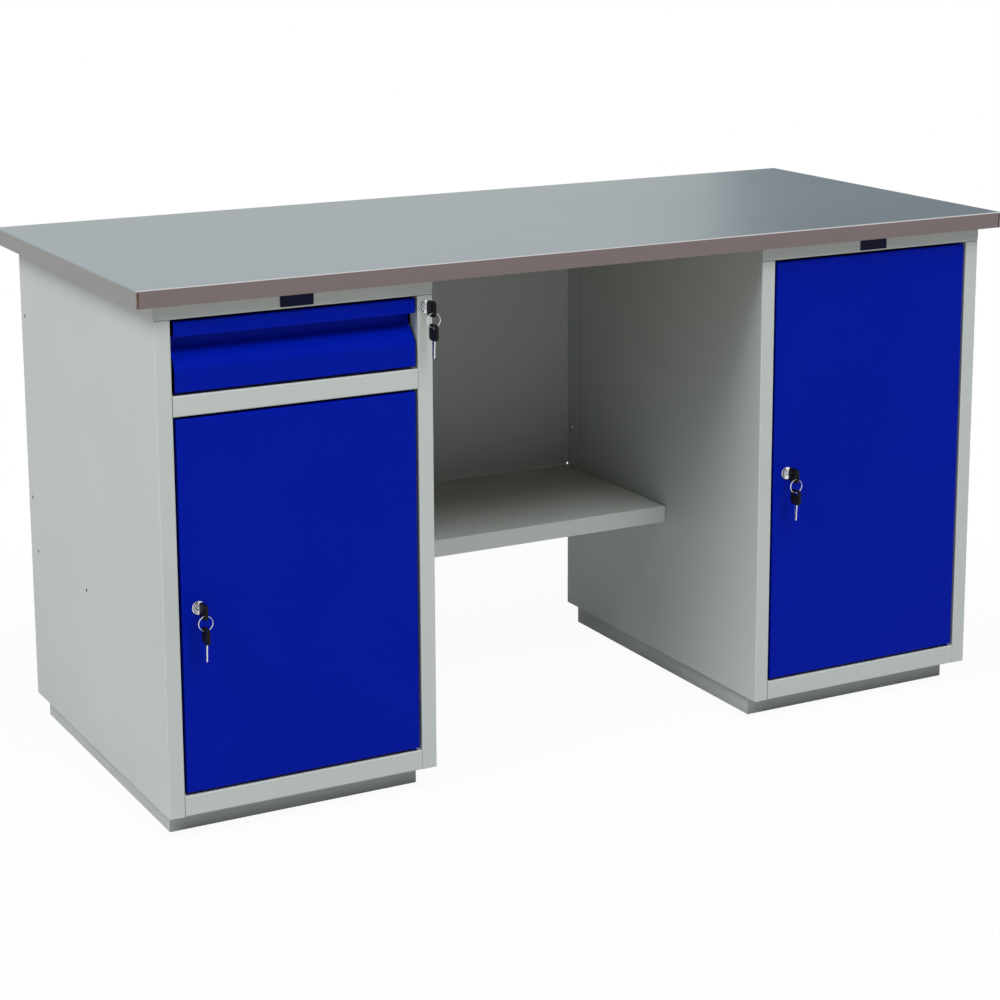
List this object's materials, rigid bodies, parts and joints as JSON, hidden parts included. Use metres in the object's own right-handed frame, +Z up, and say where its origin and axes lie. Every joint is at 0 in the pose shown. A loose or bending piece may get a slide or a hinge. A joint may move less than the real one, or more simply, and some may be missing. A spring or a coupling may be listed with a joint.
{
  "type": "workbench",
  "caption": "Steel workbench with a sheet-clad top on cabinet pedestals with hinged doors, a drawer with a folded finger groove, cam locks with keys, and a shelf and back panel between them.",
  "frame": {"origin": "on the floor, under the centre of the bounding box", "axes": "+X to the right of someone facing the doors, +Y towards the back, +Z up"},
  "size_m": [1.6, 0.7222, 0.87],
  "materials": {
    "body_paint": "light grey-green powder coat, fine texture",
    "blue_paint": "deep blue powder coat, semi-gloss",
    "plinth_paint": "light grey-green powder coat",
    "top_steel": "zinc-coated sheet steel",
    "board": "raw chipboard",
    "zinc_steel": "zinc-plated steel",
    "lock_chrome": "polished nickel-chrome",
    "key_plastic": "black plastic head on a nickel-plated blade",
    "badge_plate": "bare dark blue plate"
  },
  "bodies": {
    "bench": {"drawer_lock_barrel": "lock_chrome", "drawer_runner_left": "zinc_steel", "drawer_runner_right": "zinc_steel", "knee_back_panel": "body_paint", "knee_panel_bolt_left_1": "zinc_steel", "knee_panel_bolt_left_2": "zinc_steel", "knee_panel_bolt_right_1": "zinc_steel", "knee_panel_bolt_right_2": "zinc_steel", "knee_shelf": "body_paint", "knee_shelf_bolt_left_1": "zinc_steel", "knee_shelf_bolt_left_2": "zinc_steel", "knee_shelf_bolt_right_1": "zinc_steel", "knee_shelf_bolt_right_2": "zinc_steel", "left_back": "body_paint", "left_badge": "badge_plate", "left_floor": "body_paint", "left_inner_side": "body_paint", "left_mid_rail": "body_paint", "left_outer_side": "body_paint", "left_plinth": "plinth_paint", "left_shelf": "body_paint", "left_top_rail": "body_paint", "right_back": "body_paint", "right_badge": "badge_plate", "right_floor": "body_paint", "right_inner_side": "body_paint", "right_outer_side": "body_paint", "right_plinth": "plinth_paint", "right_shelf_lower": "body_paint", "right_shelf_upper": "body_paint", "right_top_rail": "body_paint", "worktop_board": "board", "worktop_cladding": "top_steel"},
    "left_door": {"left_door": "blue_paint", "left_door_pin_top": "blue_paint", "left_door_pin_bottom": "blue_paint", "left_door_lock_barrel": "lock_chrome"},
    "right_door": {"right_door": "blue_paint", "right_door_pin_top": "blue_paint", "right_door_pin_bottom": "blue_paint", "right_door_lock_barrel": "lock_chrome"},
    "drawer": {"drawer_front": "blue_paint", "drawer_tray": "zinc_steel", "drawer_rail_left": "zinc_steel", "drawer_rail_right": "zinc_steel"},
    "left_door_lock": {"left_door_lock_plug": "lock_chrome", "left_door_lock_cam": "zinc_steel", "left_door_key": "key_plastic"},
    "left_door_ring": {"left_door_key_ring": "lock_chrome"},
    "left_door_spare": {"left_door_spare_key": "key_plastic"},
    "right_door_lock": {"right_door_lock_plug": "lock_chrome", "right_door_lock_cam": "zinc_steel", "right_door_key": "key_plastic"},
    "right_door_ring": {"right_door_key_ring": "lock_chrome"},
    "right_door_spare": {"right_door_spare_key": "key_plastic"},
    "drawer_lock": {"drawer_lock_plug": "lock_chrome", "drawer_lock_cam": "zinc_steel", "drawer_key": "key_plastic"},
    "drawer_ring": {"drawer_key_ring": "lock_chrome"},
    "drawer_spare": {"drawer_spare_key": "key_plastic"}
  },
  "joints": [
    {"name": "left_door_hinge", "type": "hinge", "parent": "bench", "child": "left_door", "pos_m": [-0.347, -0.31235, 0.3715], "axis": [0, 0, 1], "range_deg": [0, 105]},
    {"name": "right_door_hinge", "type": "hinge", "parent": "bench", "child": "right_door", "pos_m": [0.731, -0.31235, 0.4455], "axis": [0, 0, 1], "range_deg": [0, 105]},
    {"name": "drawer_slide", "type": "slide", "parent": "bench", "child": "drawer", "axis": [0, -1, 0], "range_m": [0, 0.4]},
    {"name": "left_door_lock_turn", "type": "hinge", "parent": "left_door", "child": "left_door_lock", "pos_m": [-0.7115, -0.31885, 0.3715], "axis": [0, 1, 0], "range_deg": [0, 90]},
    {"name": "left_door_ring_swing", "type": "hinge", "parent": "left_door_lock", "child": "left_door_ring", "pos_m": [-0.7115, -0.34865, 0.3655], "axis": [-1, 0, 0], "range_deg": [-10, 75]},
    {"name": "left_door_spare_swing", "type": "hinge", "parent": "left_door_ring", "child": "left_door_spare", "pos_m": [-0.7115, -0.34865, 0.3435], "axis": [-1, 0, 0], "range_deg": [-10, 45]},
    {"name": "right_door_lock_turn", "type": "hinge", "parent": "right_door", "child": "right_door_lock", "pos_m": [0.3665, -0.31885, 0.4455], "axis": [0, 1, 0], "range_deg": [0, 90]},
    {"name": "right_door_ring_swing", "type": "hinge", "parent": "right_door_lock", "child": "right_door_ring", "pos_m": [0.3665, -0.34865, 0.4395], "axis": [-1, 0, 0], "range_deg": [-10, 75]},
    {"name": "right_door_spare_swing", "type": "hinge", "parent": "right_door_ring", "child": "right_door_spare", "pos_m": [0.3665, -0.34865, 0.4175], "axis": [-1, 0, 0], "range_deg": [-10, 45]},
    {"name": "drawer_lock_turn", "type": "hinge", "parent": "bench", "child": "drawer_lock", "pos_m": [-0.323, -0.31885, 0.8], "axis": [0, -1, 0], "range_deg": [0, 90]},
    {"name": "drawer_ring_swing", "type": "hinge", "parent": "drawer_lock", "child": "drawer_ring", "pos_m": [-0.323, -0.34865, 0.794], "axis": [-1, 0, 0], "range_deg": [-10, 75]},
    {"name": "drawer_spare_swing", "type": "hinge", "parent": "drawer_ring", "child": "drawer_spare", "pos_m": [-0.323, -0.34865, 0.772], "axis": [-1, 0, 0], "range_deg": [-10, 45]}
  ]
}
